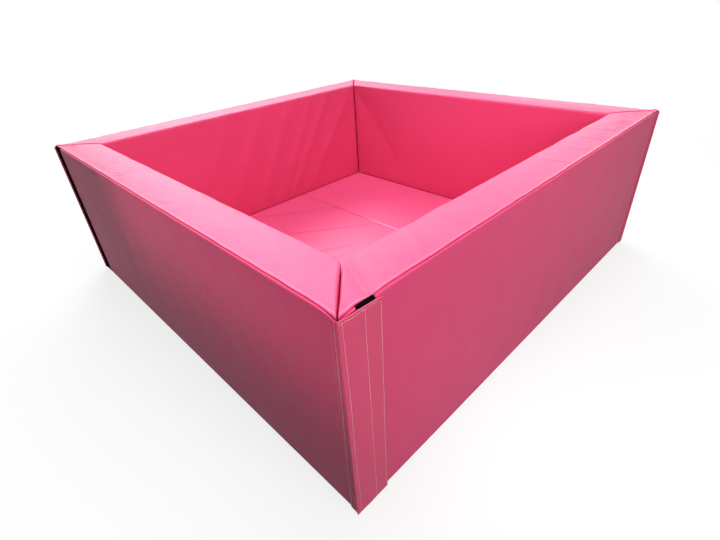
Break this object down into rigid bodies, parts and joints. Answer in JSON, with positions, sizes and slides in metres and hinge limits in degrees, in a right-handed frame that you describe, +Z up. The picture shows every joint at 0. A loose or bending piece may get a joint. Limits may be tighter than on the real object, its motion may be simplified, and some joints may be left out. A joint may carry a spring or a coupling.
{
  "type": "ball pit",
  "caption": "Square soft play ball pit of foam walls in sewn vinyl covers, joined at the corners by hook-and-loop flaps, around a floor mat that folds in three.",
  "frame": {"origin": "on the floor at the middle of the pit", "axes": "+Z up, +X from the left wall to the right wall, +Y from the front wall to the back wall"},
  "size_m": [1.8094, 1.8109, 0.618],
  "materials": {
    "pink_vinyl": "satin",
    "foam": "matte",
    "zip_tape": "matte",
    "zip_slider": "satin",
    "loop_tape": "matte",
    "hook_tape": "matte"
  },
  "bodies": {
    "mat_right": {"mat_right_cover": "pink_vinyl", "mat_right_foam_core": "foam", "mat_right_zip": "zip_tape", "mat_top_fold_seam": "pink_vinyl"},
    "mat_right_slider": {"mat_right_zip_slider": "zip_slider"},
    "mat_middle": {"mat_middle_cover": "pink_vinyl", "mat_middle_foam_core": "foam", "mat_middle_zip": "zip_tape", "mat_bottom_fold_seam": "pink_vinyl"},
    "mat_middle_slider": {"mat_middle_zip_slider": "zip_slider"},
    "mat_left": {"mat_left_cover": "pink_vinyl", "mat_left_foam_core": "foam", "mat_left_zip": "zip_tape"},
    "mat_left_slider": {"mat_left_zip_slider": "zip_slider"},
    "front_wall": {"front_wall_cover": "pink_vinyl", "front_wall_foam_core": "foam", "front_wall_zip": "zip_tape", "front_wall_loop_tape": "loop_tape", "front_wall_flap_seam_strip": "pink_vinyl"},
    "front_wall_flap": {"front_wall_corner_flap": "pink_vinyl", "front_wall_hook_tape": "hook_tape"},
    "front_wall_slider": {"front_wall_zip_slider": "zip_slider"},
    "right_wall": {"right_wall_cover": "pink_vinyl", "right_wall_foam_core": "foam", "right_wall_zip": "zip_tape", "right_wall_loop_tape": "loop_tape", "right_wall_flap_seam_strip": "pink_vinyl"},
    "right_wall_flap": {"right_wall_corner_flap": "pink_vinyl", "right_wall_hook_tape": "hook_tape"},
    "right_wall_slider": {"right_wall_zip_slider": "zip_slider"},
    "back_wall": {"back_wall_cover": "pink_vinyl", "back_wall_foam_core": "foam", "back_wall_zip": "zip_tape", "back_wall_loop_tape": "loop_tape", "back_wall_flap_seam_strip": "pink_vinyl"},
    "back_wall_flap": {"back_wall_corner_flap": "pink_vinyl", "back_wall_hook_tape": "hook_tape"},
    "back_wall_slider": {"back_wall_zip_slider": "zip_slider"},
    "left_wall": {"left_wall_cover": "pink_vinyl", "left_wall_foam_core": "foam", "left_wall_zip": "zip_tape", "left_wall_loop_tape": "loop_tape", "left_wall_flap_seam_strip": "pink_vinyl"},
    "left_wall_flap": {"left_wall_corner_flap": "pink_vinyl", "left_wall_hook_tape": "hook_tape"},
    "left_wall_slider": {"left_wall_zip_slider": "zip_slider"}
  },
  "joints": [
    {"name": "mat_top_fold", "type": "hinge", "parent": "mat_right", "child": "mat_middle", "pos_m": [0.24963, 0, 0.0525], "axis": [0, 1, 0], "range_deg": [0, 180]},
    {"name": "mat_bottom_fold", "type": "hinge", "parent": "mat_middle", "child": "mat_left", "pos_m": [-0.24963, 0, -0.0005], "axis": [0, 1, 0], "range_deg": [-180, 0]},
    {"name": "front_wall_lift", "type": "slide", "parent": "mat_right", "child": "front_wall", "axis": [0, 0, 1], "range_m": [0, 0.65]},
    {"name": "front_wall_flap_hinge", "type": "hinge", "parent": "front_wall", "child": "front_wall_flap", "pos_m": [0.904, -0.904, 0.3], "axis": [0, 0, -1], "range_deg": [0, 270]},
    {"name": "front_wall_zip_travel", "type": "slide", "parent": "front_wall", "child": "front_wall_slider", "axis": [-1, 0, 0], "range_m": [0, 1.162]},
    {"name": "right_wall_lift", "type": "slide", "parent": "mat_right", "child": "right_wall", "axis": [0, 0, 1], "range_m": [0, 0.65]},
    {"name": "right_wall_flap_hinge", "type": "hinge", "parent": "right_wall", "child": "right_wall_flap", "pos_m": [0.904, 0.904, 0.3], "axis": [0, 0, -1], "range_deg": [0, 270]},
    {"name": "right_wall_zip_travel", "type": "slide", "parent": "right_wall", "child": "right_wall_slider", "axis": [0, -1, 0], "range_m": [0, 1.162]},
    {"name": "back_wall_lift", "type": "slide", "parent": "mat_right", "child": "back_wall", "axis": [0, 0, 1], "range_m": [0, 0.65]},
    {"name": "back_wall_flap_hinge", "type": "hinge", "parent": "back_wall", "child": "back_wall_flap", "pos_m": [-0.904, 0.904, 0.3], "axis": [0, 0, 1], "range_deg": [0, 270]},
    {"name": "back_wall_zip_travel", "type": "slide", "parent": "back_wall", "child": "back_wall_slider", "axis": [1, 0, 0], "range_m": [0, 1.162]},
    {"name": "left_wall_lift", "type": "slide", "parent": "mat_right", "child": "left_wall", "axis": [0, 0, 1], "range_m": [0, 0.65]},
    {"name": "left_wall_flap_hinge", "type": "hinge", "parent": "left_wall", "child": "left_wall_flap", "pos_m": [-0.904, -0.904, 0.3], "axis": [0, 0, -1], "range_deg": [0, 270]},
    {"name": "left_wall_zip_travel", "type": "slide", "parent": "left_wall", "child": "left_wall_slider", "axis": [0, 1, 0], "range_m": [0, 1.162]},
    {"name": "mat_right_zip_travel", "type": "slide", "parent": "mat_right", "child": "mat_right_slider", "axis": [0, -1, 0], "range_m": [0, 1.159]},
    {"name": "mat_middle_zip_travel", "type": "slide", "parent": "mat_middle", "child": "mat_middle_slider", "axis": [0, -1, 0], "range_m": [0, 1.159]},
    {"name": "mat_left_zip_travel", "type": "slide", "parent": "mat_left", "child": "mat_left_slider", "axis": [0, -1, 0], "range_m": [0, 1.159]}
  ],
  "couplings": [
    {"joint": "mat_bottom_fold", "follows": "mat_top_fold", "ratio": -1}
  ]
}
